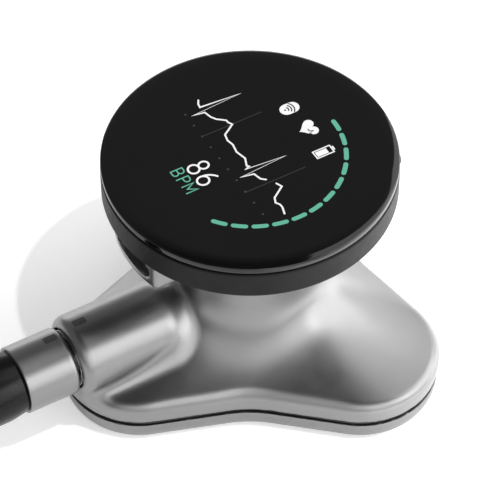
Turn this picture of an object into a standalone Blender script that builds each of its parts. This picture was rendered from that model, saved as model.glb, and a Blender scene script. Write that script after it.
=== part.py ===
"""Digital stethoscope: a three-lobed listening head with a round display, its hose and its headset.

Metres, +Z up. The origin is the centre of the diaphragm's face, which rests on the plane z = 0.
The stem and its hose leave along -X, and the head is symmetric about the plane y = 0.
The lobes point along 180, 300 and 60 degrees. The hose lies folded, with the headset beside the head.
"""
import math

import bmesh
import bpy
from mathutils import Vector

MM = 0.001
GAP = 0.3 * MM
QUARTER_TURN = math.pi / 2

# Outline of the head: three round lobes, each joined to the next by a straight flank, a hollow and a flank.
LOBES = 3
LOBE_PITCH = 2 * math.pi / LOBES
FIRST_LOBE = math.pi
LOBE_RADIUS = 11.95 * MM
LOBE_CENTRE = 19.3 * MM
WAIST_RADIUS = 17.6 * MM
WAIST_CENTRE = 36.6 * MM
OUTLINE_POINTS = 60

# Heights of the head's layers.
BASE_TOP = 3.3 * MM
SEAM_BOTTOM = BASE_TOP + GAP
SEAM_TOP = 3.9 * MM
SHELL_BOTTOM = SEAM_TOP + GAP

# Shell: (share, millimetres up) from the outline, share 0, to the neck, share 1.
# Then (radius, height) in millimetres out to the lip under the display.
NECK_RADIUS = 11.8 * MM
SHELL_RISE = ((0.0, 4.2), (0.0, 7.0), (0.01, 7.4), (0.035, 7.75), (0.187, 8.6), (0.365, 9.6),
              (0.565, 11.0), (0.768, 13.0), (0.916, 15.5), (0.987, 18.5), (1.0, 22.5))
SHELL_FLARE = ((13.0, 26.0), (15.6, 29.0), (18.5, 31.2), (21.2, 32.6), (21.2, 33.3))
WALL = 1.7 * MM
CAVITY_BOTTOM = SHELL_BOTTOM - MM
CAVITY_TOP = 32.0 * MM
CAVITY_POINTS = 42
CABLE_HOLE = ((7.0, 31.0), (7.0, 35.0))

# Pods under the lip: the charging socket at -X and the power button at +X.
POD_RADIUS = 20.6 * MM
POD_HALF_WIDTH = 6.5 * MM
POD_ROOT = 8.0 * MM
POD_BOTTOM = 27.4 * MM
POD_TOP = 33.0 * MM
POD_MIDDLE = 30.1 * MM
POD_ARC_STEPS = 6
OPENING_START = 16.0 * MM
OPENING_END = POD_RADIUS + 2.0 * MM
SOCKET_SLOT = (10.0 * MM, 2.9 * MM)
BUTTON_HOLE = (9.6 * MM, 3.8 * MM)
SOCKET_POCKET = ((-18.4, -5.4, 28.2), (-9.0, 5.4, 32.0))
BUTTON_POCKET = ((9.0, -4.4, 27.9), (17.2, 4.4, 32.0))

# Stem: barrel, hose plug and ferrule share one axis. Profiles are (radius, distance out) in millimetres.
STEM_HEIGHT = 12.5 * MM
BARREL = ((6.3, 15.8), (6.3, 30.7), (6.0, 31.35), (5.4, 31.6))
SOCKET = ((4.85, 9.5), (4.85, 33.0))
PLUG = ((1.6, 16.6), (4.2, 16.6), (4.5, 16.9), (4.5, 19.6), (3.4, 19.6), (3.4, 21.4),
        (4.5, 21.4), (4.5, 31.5), (2.9, 31.5), (2.9, 40.0), (1.6, 40.0))
FERRULE = ((3.2, 31.9), (4.7, 31.9), (5.1, 32.1), (5.3, 32.5), (5.3, 40.3), (3.2, 40.3))
O_RING_RADIUS = 4.1
O_RING_THICKNESS = 0.42
O_RING_PLACE = 20.5
O_RING_SIDES = 6

# Underside. Profiles are (radius, height) in millimetres.
BASE_RINGS = ((0.5, 0.6), (1.3, 0.25), (2.4, 0.05), (3.3, 0.05))
DIAPHRAGM = ((13.0, 0.0), (13.4, 0.2), (13.4, 0.6))
DIAPHRAGM_RIM = ((13.7, 0.25), (15.3, 0.25), (15.8, 0.7), (15.8, 2.0), (13.7, 2.0))
DIAPHRAGM_RECESS = ((16.1, 0.0), (16.1, 2.3))
SOUND_HOLE = ((2.6, 2.0), (2.6, 4.0))
GASKET_OUTER_INSET = 0.35 * MM
GASKET_INNER_INSET = 1.5 * MM
ELECTRODE_PLACE = 22.8 * MM
ELECTRODE = ((4.3, 0.15), (4.8, 0.55), (4.8, 2.2), (1.5, 2.2), (1.5, 4.4))
ELECTRODE_POCKET = ((5.1, 0.0), (5.1, 2.5), (1.8, 2.5), (1.8, 4.0))
CONTACT = ((24.4, 4.75), (24.4, 5.05), (17.0, 5.05), (14.8, 6.5), (12.6, 6.5), (12.6, 6.2),
           (14.5, 6.2), (16.7, 4.75))
CONTACT_HALF_WIDTH = 1.4 * MM
SCREW_PLACE = (18.5 * MM, 7.6 * MM)
SCREW = ((1.6, 0.6), (1.6, 1.6), (0.8, 1.6), (0.8, 7.7))
SCREW_SEAT = ((1.9, 0.0), (1.9, 1.9), (1.1, 1.9), (1.1, 4.0))
SCREW_BOSS = ((2.4, 4.2), (2.4, 8.6))
SCREW_PILOT = ((1.1, 3.5), (1.1, 8.0))

# Inner parts. Profiles are (radius, height) in millimetres.
MICROPHONE = ((2.8, 3.6), (2.8, 6.2))
MICROPHONE_BOOT = ((3.1, 3.6), (4.6, 3.6), (4.6, 6.2), (3.1, 6.2))
MAIN_BOARD = ((14.2, 6.9), (14.2, 7.7))
BATTERY = ((7.6, 12.6), (8.0, 13.0), (8.0, 22.0), (7.6, 22.4))
BATTERY_CRADLE = ((0.6, 11.2), (9.1, 11.2), (9.1, 17.0), (8.3, 17.0), (8.3, 12.3), (0.6, 12.3))
SPEAKER = ((3.6, 10.2), (4.0, 10.6), (4.0, 15.4))
RIBBON = ((9.4, 8.0), (9.65, 8.0), (9.65, 27.5), (6.3, 30.8), (6.3, 35.6), (6.0, 35.6),
          (6.0, 30.6), (9.4, 27.3))
RIBBON_HALF_WIDTH = 1.8 * MM
SWITCH = ((12.6, -3.0, 28.6), (16.2, 3.0, 31.6))
BUTTON_FACE = (9.0 * MM, 3.2 * MM)
BUTTON_BACK = 17.0 * MM
BUTTON_FRONT = 23.9 * MM
USB_SLEEVE = (8.9 * MM, 2.3 * MM)
USB_MOUTH = (8.3 * MM, 1.7 * MM)
USB_TONGUE = (6.6 * MM, 0.6 * MM)
USB_BACK = 11.6 * MM
USB_FRONT = 18.9 * MM
USB_FLOOR = 12.8 * MM
USB_TONGUE_BACK = 12.2 * MM
USB_TONGUE_FRONT = 18.0 * MM

# Display. Profiles are (radius, height) in millimetres.
DISPLAY_HOUSING = ((7.0, 33.6), (21.5, 33.6), (22.05, 34.1), (22.05, 38.3), (21.85, 38.5), (21.2, 38.5),
                   (21.2, 37.4), (18.3, 37.4), (18.3, 35.3), (7.0, 35.3))
DISPLAY_SEAL = ((18.6, 37.7), (20.9, 37.7), (20.9, 38.5), (18.6, 38.5))
DISPLAY_PANEL = ((17.9, 35.9), (17.9, 38.3))
DISPLAY_GLASS = ((21.6, 38.8), (22.0, 39.05), (22.0, 39.7), (21.5, 40.0), (20.4, 40.2))

# Headset. The yoke's trunk is (place along +X, radius) and its branches are (share of length, radius).
HEADSET_LINE = -96.0 * MM
HEADSET_HEIGHT = 6.1 * MM
PIVOT_X = -6.0 * MM
PIVOT_OFFSET = 9.5 * MM
YOKE_TRUNK = ((-42.0, 5.25), (-36.0, 5.5), (-28.0, 5.95), (-22.0, 5.9), (-18.0, 5.0))
BRANCH_START = (-26.0 * MM, 1.4 * MM)
YOKE_BRANCH = ((0.0, 5.1), (0.35, 5.6), (1.0, 5.4))
SPRING_POCKET = ((-23.5, -1.9, -2.8), (-9.0, 1.9, 2.8))
SPRING = ((-23.0, 0.0), (-22.6, -0.5), (-21.0, -0.9), (-4.0, -1.9), (-3.9, -1.4), (-21.0, -0.35),
          (-21.6, 0.0), (-21.0, 0.35), (-3.9, 1.4), (-4.0, 1.9), (-21.0, 0.9), (-22.6, 0.5))
SPRING_HALF_HEIGHT = 2.2 * MM
LEG_RADIUS = 4.2 * MM
LEG_STEP = 8.0 * MM
DOME_DEGREES = (75, 50, 25)
EAR_TUBE_RADIUS = 2.8 * MM
EAR_TUBE_STEP = 9.0 * MM
COLLAR = ((3.1, 0.0), (4.3, 0.0), (4.6, 0.5), (4.6, 5.2), (3.9, 6.4), (3.1, 6.4))
EAR_INSERT = ((3.0, 0.3), (3.4, 0.6), (3.4, 2.0), (2.2, 2.0), (2.2, 8.0))
EAR_TIP = ((2.5, 2.4), (4.4, 2.4), (5.6, 4.4), (6.2, 7.4), (5.9, 10.8), (4.6, 14.2), (3.0, 16.6),
           (1.4, 17.0), (1.4, 8.6), (2.5, 8.4))

# The hose's own line, in millimetres: out of the ferrule, down to the table, round and back.
HOSE_ROUTE = (
    (-40.6, 0.0, 12.5), (-56.0, 0.0, 12.2), (-74.0, 0.4, 10.4), (-94.0, 0.4, 7.2), (-112.0, -0.6, 5.6),
    (-132.0, -1.8, 5.35), (-149.0, -2.2, 5.35), (-166.0, -4.3, 5.35), (-187.0, -13.4, 5.35),
    (-202.0, -30.0, 5.35), (-207.5, -51.0, 5.35), (-202.0, -73.0, 5.35), (-186.0, -90.0, 5.35),
    (-165.0, -98.4, 5.35), (-142.0, -100.2, 5.35), (-116.0, -98.4, 5.35), (-92.0, -96.6, 5.35),
    (-68.0, -96.0, 5.6), (-52.0, -96.0, 6.0), (-42.3, -96.0, 6.1))
HOSE_STEP = 20.0 * MM
HOSE_RADIUS = 5.25 * MM

# One leg and one ear tube, in millimetres: along +X, away from the headset's middle line, height.
LEG_ROUTE = ((-6.0, 9.5, 6.1), (8.0, 15.2, 6.1), (22.0, 21.0, 6.0), (36.0, 26.5, 5.6), (48.0, 30.7, 5.1),
             (58.0, 33.8, 4.75))
EAR_TUBE_ROUTE = ((58.3, 33.9, 4.74), (66.0, 36.0, 4.5), (80.0, 39.0, 4.1), (96.0, 40.4, 3.6),
                  (112.0, 40.0, 3.3), (128.0, 37.2, 3.4), (142.0, 32.4, 4.2), (154.0, 26.4, 5.8),
                  (164.0, 20.0, 8.0), (171.0, 15.0, 10.2))

COLOURS = {
    "satin_silver": ((0.62, 0.62, 0.63), 0.32, 1.0),
    "base_grey": ((0.20, 0.20, 0.21), 0.45, 0.8),
    "black_plastic": ((0.03, 0.03, 0.032), 0.45, 0.0),
    "black_glass": ((0.010, 0.010, 0.011), 0.05, 0.0),
    "soft_black": ((0.02, 0.02, 0.021), 0.60, 0.0),
    "steel": ((0.70, 0.70, 0.72), 0.22, 1.0),
    "brass": ((0.78, 0.57, 0.24), 0.30, 1.0),
    "board_green": ((0.03, 0.16, 0.08), 0.50, 0.0),
    "cell_blue": ((0.06, 0.16, 0.36), 0.45, 0.0),
    "amber_film": ((0.55, 0.27, 0.05), 0.40, 0.0),
    "membrane_grey": ((0.30, 0.30, 0.31), 0.40, 0.0),
}


def material(name):
    """The named finish, made once."""
    found = bpy.data.materials.get(name)
    if found:
        return found
    colour, roughness, metallic = COLOURS[name]
    made = bpy.data.materials.new(name)
    made.use_nodes = True
    shader = made.node_tree.nodes["Principled BSDF"]
    shader.inputs["Base Color"].default_value = (*colour, 1.0)
    shader.inputs["Roughness"].default_value = roughness
    shader.inputs["Metallic"].default_value = metallic
    return made


def add_object(name, shape, finish, sharp_degrees=35.0):
    """An object made from a bmesh, smooth except at its corners."""
    bmesh.ops.recalc_face_normals(shape, faces=shape.faces[:])
    mesh = bpy.data.meshes.new(name)
    shape.to_mesh(mesh)
    shape.free()
    mesh.shade_smooth()
    mesh.set_sharp_from_angle(angle=math.radians(sharp_degrees))
    made = bpy.data.objects.new(name, mesh)
    bpy.context.collection.objects.link(made)
    if finish:
        made.data.materials.append(material(finish))
    return made


def rings_to_solid(name, rings, finish, closed_loop=False):
    """Skins a list of equal rings of points: capped at its two ends, or joined round into a ring."""
    shape = bmesh.new()
    rows = [[shape.verts.new(point) for point in ring] for ring in rings]
    pairs = list(zip(rows, rows[1:]))
    if closed_loop:
        pairs.append((rows[-1], rows[0]))
    count = len(rows[0])
    for lower, upper in pairs:
        for i in range(count):
            j = (i + 1) % count
            shape.faces.new((lower[i], lower[j], upper[j], upper[i]))
    if not closed_loop:
        shape.faces.new(rows[0][::-1])
        shape.faces.new(rows[-1])
    return add_object(name, shape, finish)


def circle(radius, height, count):
    """A ring of points about the Z axis."""
    angles = [2 * math.pi * i / count for i in range(count)]
    return [(radius * math.cos(a), radius * math.sin(a), height) for a in angles]


def turned(name, profile, finish, count=32, hollow=False):
    """A turned piece about its own Z axis, from (radius, height) pairs in millimetres."""
    rings = [circle(r * MM, h * MM, count) for r, h in profile]
    return rings_to_solid(name, rings, finish, closed_loop=hollow)


def prism(name, outline, low, high, finish):
    """An outline in the XY plane pulled from one height to another."""
    rings = [[(x, y, height) for x, y in outline] for height in (low, high)]
    return rings_to_solid(name, rings, finish)


def block(name, low, high, finish):
    """A box between two corners, given in millimetres."""
    outline = [(low[0], low[1]), (high[0], low[1]), (high[0], high[1]), (low[0], high[1])]
    outline = [(x * MM, y * MM) for x, y in outline]
    return prism(name, outline, low[2] * MM, high[2] * MM, finish)


def stadium(length, width, arc_points=8):
    """A slot outline along its first axis, with round ends."""
    radius = width / 2
    offset = length / 2 - radius
    points = []
    for side in (1, -1):
        for i in range(arc_points + 1):
            angle = math.pi * i / arc_points - side * QUARTER_TURN
            points.append((side * offset + radius * math.cos(angle), radius * math.sin(angle)))
    return points


def cut(target, tool, operation="DIFFERENCE"):
    """Cuts a tool out of the target, or joins it on, and leaves the tool as a guide."""
    modifier = target.modifiers.new(tool.name, "BOOLEAN")
    modifier.operation = operation
    modifier.object = tool
    tool.hide_render = True
    tool.display_type = "WIRE"


def lay_along_stem(piece):
    """Turns a piece made about +Z so that its axis is the stem's, pointing out along -X."""
    piece.rotation_euler = (0.0, -QUARTER_TURN, 0.0)
    piece.location = (0.0, 0.0, STEM_HEIGHT)
    return piece


def trefoil_radius(angle, inset=0.0):
    """Distance from the head's axis to its three-lobed outline, moved inward by inset."""
    lobe_radius = LOBE_RADIUS - inset
    waist_radius = WAIST_RADIUS + inset
    turn = (angle - FIRST_LOBE) % LOBE_PITCH
    from_lobe = min(turn, LOBE_PITCH - turn)
    waist = Vector((WAIST_CENTRE * math.cos(LOBE_PITCH / 2), WAIST_CENTRE * math.sin(LOBE_PITCH / 2)))
    lobe = Vector((LOBE_CENTRE, 0.0))
    apart = waist - lobe
    facing = math.atan2(apart.y, apart.x) - math.acos((lobe_radius + waist_radius) / apart.length)
    outward = Vector((math.cos(facing), math.sin(facing)))
    start = lobe + lobe_radius * outward
    end = waist - waist_radius * outward
    if from_lobe <= math.atan2(start.y, start.x):
        across = LOBE_CENTRE * math.sin(from_lobe)
        return LOBE_CENTRE * math.cos(from_lobe) + math.sqrt(lobe_radius ** 2 - across ** 2)
    if from_lobe <= math.atan2(end.y, end.x):
        return start.dot(outward) / math.cos(from_lobe - facing)
    from_waist = LOBE_PITCH / 2 - from_lobe
    across = WAIST_CENTRE * math.sin(from_waist)
    return WAIST_CENTRE * math.cos(from_waist) - math.sqrt(waist_radius ** 2 - across ** 2)


def trefoil_ring(height, inset=0.0, share=0.0, neck=NECK_RADIUS, count=OUTLINE_POINTS):
    """The outline at a height, drawn in towards the round neck by share."""
    points = []
    for i in range(count):
        angle = 2 * math.pi * i / count
        radius = (1 - share) * trefoil_radius(angle, inset) + share * neck
        points.append((radius * math.cos(angle), radius * math.sin(angle), height))
    return points


def lobe_angle(index):
    """Direction of a lobe from the head's axis."""
    return FIRST_LOBE + index * LOBE_PITCH


def smooth_points(route, step):
    """Points about one step apart on a smooth curve through a route given in millimetres."""
    knots = [Vector(p) * MM for p in route]
    knots = [2 * knots[0] - knots[1], *knots, 2 * knots[-1] - knots[-2]]
    fine = []
    for a, b, c, d in zip(knots, knots[1:], knots[2:], knots[3:]):
        for i in range(16):
            t = i / 16
            fine.append(0.5 * (2 * b + (c - a) * t + (2 * a - 5 * b + 4 * c - d) * t ** 2
                               + (3 * b - a - 3 * c + d) * t ** 3))
    fine.append(knots[-2])
    travelled = [0.0]
    for a, b in zip(fine, fine[1:]):
        travelled.append(travelled[-1] + (b - a).length)
    spans = max(2, round(travelled[-1] / step))
    points = []
    place = 0
    for i in range(spans + 1):
        goal = travelled[-1] * i / spans
        while place < len(fine) - 2 and travelled[place + 1] < goal:
            place += 1
        share = (goal - travelled[place]) / (travelled[place + 1] - travelled[place])
        points.append(fine[place].lerp(fine[place + 1], share))
    return points


def swept(name, points, radii, finish, count=16):
    """A round tube along points, with one radius for each point."""
    rings = []
    for i, point in enumerate(points):
        ahead = points[min(i + 1, len(points) - 1)] - points[max(i - 1, 0)]
        across = ahead.cross(Vector((0, 0, 1))).normalized()
        over = across.cross(ahead).normalized()
        ring = []
        for k in range(count):
            angle = 2 * math.pi * k / count
            ring.append(point + radii[i] * (math.cos(angle) * across + math.sin(angle) * over))
        rings.append(ring)
    return rings_to_solid(name, rings, finish)


def ball(name, centre, radius):
    """A round cutter."""
    shape = bmesh.new()
    bmesh.ops.create_uvsphere(shape, u_segments=16, v_segments=10, radius=radius)
    made = add_object(name, shape, None)
    made.location = centre
    return made


def make_shell():
    """The cast housing: lobes, neck, lip, pods and stem barrel, hollow from below."""
    rings = [trefoil_ring(height * MM, share=share) for share, height in SHELL_RISE]
    rings += [circle(radius * MM, height * MM, OUTLINE_POINTS) for radius, height in SHELL_FLARE]
    shell = rings_to_solid("body_shell", rings, "satin_silver")
    for side, label in ((-1, "socket_pod"), (1, "button_pod")):
        cut(shell, make_pod(label, side), "UNION")
    cut(shell, make_cavity())
    cut(shell, lay_along_stem(turned("stem_barrel", BARREL, None, count=36)), "UNION")
    for index in range(LOBES):
        boss = turned(f"screw_boss_{index + 1}", SCREW_BOSS, None, count=16)
        place_at_screw(boss, index)
        cut(shell, boss, "UNION")
        pilot = turned(f"screw_pilot_{index + 1}", SCREW_PILOT, None, count=12)
        place_at_screw(pilot, index)
        cut(shell, pilot)
    cut(shell, lay_along_stem(turned("stem_socket", SOCKET, None, count=32)))
    cut(shell, turned("cable_hole", CABLE_HOLE, None, count=28))
    cut(shell, pod_opening("socket_slot", -1, SOCKET_SLOT))
    cut(shell, pod_opening("button_hole", 1, BUTTON_HOLE))
    cut(shell, block("socket_pocket", *SOCKET_POCKET, None))
    cut(shell, block("button_pocket", *BUTTON_POCKET, None))


def make_pod(name, side):
    """One pod: straight flanks, and an outer face that follows the lip."""
    edge = math.asin(POD_HALF_WIDTH / POD_RADIUS)
    outline = [(side * POD_ROOT, -POD_HALF_WIDTH), (side * POD_ROOT, POD_HALF_WIDTH)]
    for i in range(POD_ARC_STEPS + 1):
        angle = edge - 2 * edge * i / POD_ARC_STEPS
        outline.append((side * POD_RADIUS * math.cos(angle), POD_RADIUS * math.sin(angle)))
    return prism(name, outline, POD_BOTTOM, POD_TOP, None)


def make_cavity():
    """The hollow inside the shell, open at the underside."""
    neck = NECK_RADIUS - WALL
    levels = [(share, height * MM - WALL) for share, height in SHELL_RISE[3:]]
    rings = [trefoil_ring(CAVITY_BOTTOM, WALL, count=CAVITY_POINTS)]
    rings += [trefoil_ring(height, WALL, share, neck, count=CAVITY_POINTS) for share, height in levels]
    rings.append(circle(neck, CAVITY_TOP, CAVITY_POINTS))
    return rings_to_solid("cavity", rings, None)


def pod_opening(name, side, size):
    """A slot-shaped hole through a pod, from inside it out past its face."""
    return face_pod(prism(name, stadium(*size), OPENING_START, OPENING_END, None), side)


def face_pod(piece, side):
    """Turns a piece pulled along +Z so that it points out through the pod on that side."""
    piece.rotation_euler = (QUARTER_TURN, 0.0, side * QUARTER_TURN)
    piece.location = (0.0, 0.0, POD_MIDDLE)
    return piece


def place_at_screw(piece, index):
    """Moves a piece made about the Z axis to one lobe's screw."""
    along, across = SCREW_PLACE
    angle = lobe_angle(index)
    piece.location = (along * math.cos(angle) - across * math.sin(angle),
                      along * math.sin(angle) + across * math.cos(angle), 0.0)


def place_at_electrode(piece, index):
    """Moves a piece made about the Z axis to one lobe's electrode."""
    angle = lobe_angle(index)
    piece.location = (ELECTRODE_PLACE * math.cos(angle), ELECTRODE_PLACE * math.sin(angle), 0.0)


def make_base():
    """The base plate, the diaphragm in its rim, the electrodes and the screws."""
    rings = [trefoil_ring(height * MM, inset * MM) for height, inset in BASE_RINGS]
    plate = rings_to_solid("base_plate", rings, "base_grey")
    cut(plate, turned("diaphragm_recess", DIAPHRAGM_RECESS, None, count=36))
    cut(plate, turned("sound_hole", SOUND_HOLE, None, count=20))
    for index in range(LOBES):
        pocket = turned(f"electrode_pocket_{index + 1}", ELECTRODE_POCKET, None, count=20)
        place_at_electrode(pocket, index)
        cut(plate, pocket)
        seat = turned(f"screw_seat_{index + 1}", SCREW_SEAT, None, count=16)
        place_at_screw(seat, index)
        cut(plate, seat)
        place_at_electrode(turned(f"electrode_{index + 1}", ELECTRODE, "steel", count=20), index)
        place_at_screw(turned(f"base_screw_{index + 1}", SCREW, "steel", count=14), index)
        make_contact(index)
    turned("diaphragm", DIAPHRAGM, "membrane_grey", count=36)
    turned("diaphragm_rim", DIAPHRAGM_RIM, "soft_black", count=36, hollow=True)
    outer = [(x, y) for x, y, _ in trefoil_ring(0.0, GASKET_OUTER_INSET)]
    inner = [(x, y) for x, y, _ in trefoil_ring(0.0, GASKET_INNER_INSET)]
    gasket = prism("seam_gasket", outer, SEAM_BOTTOM, SEAM_TOP, "soft_black")
    cut(gasket, prism("gasket_window", inner, SEAM_BOTTOM - MM, SEAM_TOP + MM, None))


def strip(name, profile, half_width, finish, angle):
    """A bent strip, from (distance out, height) pairs in millimetres, facing one way about the Z axis."""
    rings = [[(r * MM, side * half_width, h * MM) for r, h in profile] for side in (-1, 1)]
    made = rings_to_solid(name, rings, finish)
    made.rotation_euler = (0.0, 0.0, angle)


def make_contact(index):
    """The bent strip that touches an electrode's stud and the board's underside."""
    strip(f"electrode_contact_{index + 1}", CONTACT, CONTACT_HALF_WIDTH, "brass", lobe_angle(index))


def make_inner_parts():
    """Microphone, board, battery, speaker, display ribbon, socket and switch."""
    turned("microphone", MICROPHONE, "steel", count=24)
    turned("microphone_boot", MICROPHONE_BOOT, "soft_black", count=24, hollow=True)
    turned("main_board", MAIN_BOARD, "board_green", count=32)
    turned("battery", BATTERY, "cell_blue", count=24)
    turned("battery_cradle", BATTERY_CRADLE, "black_plastic", count=24, hollow=True)
    lay_along_stem(turned("speaker_capsule", SPEAKER, "steel", count=24))
    strip("display_ribbon", RIBBON, RIBBON_HALF_WIDTH, "amber_film", QUARTER_TURN)
    make_usb_socket()
    block("button_switch", *SWITCH, "black_plastic")
    face_pod(prism("power_button", stadium(*BUTTON_FACE), BUTTON_BACK, BUTTON_FRONT, "black_plastic"), 1)


def make_usb_socket():
    """A charging socket: a slot-shaped sleeve with a tongue, closed at its inner end."""
    sleeve = face_pod(prism("usb_socket", stadium(*USB_SLEEVE), USB_BACK, USB_FRONT, "steel"), -1)
    cut(sleeve, face_pod(prism("usb_mouth", stadium(*USB_MOUTH), USB_FLOOR, USB_FRONT + MM, None), -1))
    tongue = prism("usb_tongue", stadium(*USB_TONGUE), USB_TONGUE_BACK, USB_TONGUE_FRONT, None)
    cut(sleeve, face_pod(tongue, -1), "UNION")


def make_display():
    """The display's housing, panel, seal and cover glass."""
    turned("display_housing", DISPLAY_HOUSING, "black_plastic", count=48, hollow=True)
    turned("display_seal", DISPLAY_SEAL, "soft_black", count=32, hollow=True)
    turned("display_panel", DISPLAY_PANEL, "black_glass", count=32)
    turned("display_glass", DISPLAY_GLASS, "black_glass", count=48)


def make_hose():
    """The plug in the stem, its seal, the ferrule and the hose."""
    lay_along_stem(turned("hose_plug", PLUG, "steel", count=20, hollow=True))
    section = []
    for k in range(O_RING_SIDES):
        angle = 2 * math.pi * k / O_RING_SIDES
        section.append((O_RING_RADIUS + O_RING_THICKNESS * math.cos(angle),
                        O_RING_PLACE + O_RING_THICKNESS * math.sin(angle)))
    lay_along_stem(turned("plug_o_ring", section, "soft_black", count=24, hollow=True))
    lay_along_stem(turned("hose_ferrule", FERRULE, "satin_silver", count=28, hollow=True))
    line = bpy.data.curves.new("hose", "CURVE")
    line.dimensions = "3D"
    line.bevel_depth = HOSE_RADIUS
    line.bevel_resolution = 3
    line.use_fill_caps = True
    line.twist_mode = "Z_UP"
    points = smooth_points(HOSE_ROUTE, HOSE_STEP)
    spline = line.splines.new("POLY")
    spline.points.add(len(points) - 1)
    for slot, point in zip(spline.points, points):
        slot.co = (*point, 1.0)
    line.materials.append(material("soft_black"))
    bpy.context.collection.objects.link(bpy.data.objects.new("hose", line))


def headset_points(route, side, step):
    """A leg or ear tube's line in world coordinates, mirrored about the headset's middle line."""
    placed = [(x, HEADSET_LINE / MM + side * y, z) for x, y, z in route]
    return smooth_points(placed, step)


def make_yoke():
    """The moulded Y where the hose divides, hollowed at each leg's root, with its leaf spring."""
    middle = Vector((0.0, HEADSET_LINE, HEADSET_HEIGHT))
    trunk = [middle + Vector((x * MM, 0, 0)) for x, _ in YOKE_TRUNK]
    yoke = swept("yoke", trunk, [r * MM for _, r in YOKE_TRUNK], "soft_black", count=20)
    for side, label, count in ((1, "left", 18), (-1, "right", 22)):
        end = middle + Vector((PIVOT_X, side * PIVOT_OFFSET, 0))
        start = middle + Vector((BRANCH_START[0], side * BRANCH_START[1], 0))
        branch = swept(f"{label}_branch", [start.lerp(end, share) for share, _ in YOKE_BRANCH],
                       [r * MM for _, r in YOKE_BRANCH], None, count=count)
        cut(yoke, branch, "UNION")
        cut(yoke, ball(f"{label}_cup", end, LEG_RADIUS + GAP))
    pocket = block("spring_pocket", *SPRING_POCKET, None)
    pocket.location = middle
    cut(yoke, pocket)
    outline = [(x * MM, y * MM) for x, y in SPRING]
    prism("yoke_spring", outline, -SPRING_HALF_HEIGHT, SPRING_HALF_HEIGHT, "steel").location = middle


def make_arm(side, label):
    """One leg, its collar, ear tube, ear insert and ear tip."""
    leg = headset_points(LEG_ROUTE, side, LEG_STEP)
    start = (leg[1] - leg[0]).normalized()
    dome = [leg[0] - start * LEG_RADIUS * math.sin(math.radians(a)) for a in DOME_DEGREES]
    dome_radii = [LEG_RADIUS * math.cos(math.radians(a)) for a in DOME_DEGREES]
    swept(f"{label}_leg", dome + leg, dome_radii + [LEG_RADIUS] * len(leg), "soft_black", count=12)
    tube = headset_points(EAR_TUBE_ROUTE, side, EAR_TUBE_STEP)
    swept(f"{label}_ear_tube", tube, [EAR_TUBE_RADIUS] * len(tube), "steel", count=12)
    collar = turned(f"{label}_collar", COLLAR, "black_plastic", count=18, hollow=True)
    aim(collar, tube[0], tube[1] - tube[0])
    insert = turned(f"{label}_ear_insert", EAR_INSERT, "black_plastic", count=20)
    tip = turned(f"{label}_ear_tip", EAR_TIP, "soft_black", count=20, hollow=True)
    for piece in (insert, tip):
        aim(piece, tube[-1], tube[-1] - tube[-2])


def aim(piece, place, direction):
    """Puts a piece made about +Z at a place, with its axis along a direction."""
    piece.rotation_mode = "QUATERNION"
    piece.rotation_quaternion = direction.to_track_quat("Z", "Y")
    piece.location = place


def main():
    for old in list(bpy.data.objects):
        bpy.data.objects.remove(old)
    make_shell()
    make_base()
    make_inner_parts()
    make_display()
    make_hose()
    make_yoke()
    for side, label in ((1, "left"), (-1, "right")):
        make_arm(side, label)


main()
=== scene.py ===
"""Looks for the digital stethoscope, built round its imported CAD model.

Metres, +Z up, in the frame's own axes: the diaphragm's face rests on z = 0 and the stem leaves along -X.
Shapes are worked out in millimetres and scaled by MM as each mesh is made.
"""

import math

import bmesh
import bpy
import numpy as np
from mathutils import Matrix, Vector


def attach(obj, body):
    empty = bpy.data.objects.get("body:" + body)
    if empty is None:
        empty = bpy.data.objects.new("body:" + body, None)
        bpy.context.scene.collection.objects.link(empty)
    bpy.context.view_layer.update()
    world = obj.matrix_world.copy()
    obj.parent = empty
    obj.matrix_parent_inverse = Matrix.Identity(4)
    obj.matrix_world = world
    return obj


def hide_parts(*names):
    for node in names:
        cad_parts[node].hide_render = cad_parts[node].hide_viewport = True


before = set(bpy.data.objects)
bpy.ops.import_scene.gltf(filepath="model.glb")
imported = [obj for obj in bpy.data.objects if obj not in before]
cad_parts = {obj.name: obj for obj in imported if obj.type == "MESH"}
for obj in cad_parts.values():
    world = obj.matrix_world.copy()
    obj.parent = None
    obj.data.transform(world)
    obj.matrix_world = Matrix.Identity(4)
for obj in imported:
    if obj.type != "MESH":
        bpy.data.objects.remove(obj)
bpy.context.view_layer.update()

MM = 0.001
TURN = 2 * math.pi
SHARP_DEGREES = 38.0

# The head's outline: three round lobes, each joined to the next by a straight flank, a hollow and a flank.
LOBES = 3
LOBE_PITCH = TURN / LOBES
FIRST_LOBE = math.pi
LOBE_RADIUS = 11.95
LOBE_CENTRE = 19.3
WAIST_RADIUS = 17.6
WAIST_CENTRE = 36.6
SAMPLES = 180

# Heights and radii of the shell.
SHELL_BOTTOM = 4.2
SHELL_TOP = 33.3
RIM_HEIGHT = 7.7
RIM_FILLET = 1.3
WALL_LEAN = 0.2
LEAN_HEIGHT = 2.5
NECK_HEIGHT = 22.5
NECK_RADIUS = 11.8
SWEEP_POWER = 3.3
FLARE_START = 22.0
FLARE_RATE = 0.078
LIP_RADIUS = 21.2
LIP_START = 20.0
WALL = 1.7
CAVITY_TOP = 32.0
CABLE_HOLE_RADIUS = 7.0

# The screws, from the middle of the head: along each lobe and aside from its middle line.
SCREW_ALONG = 18.5
SCREW_ASIDE = 7.6
SCREW_HOLE_RADIUS = 1.1
PILOT_TOP = 8.0
BOSS_RADIUS = 2.4
BOSS_TOP = 8.6

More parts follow.
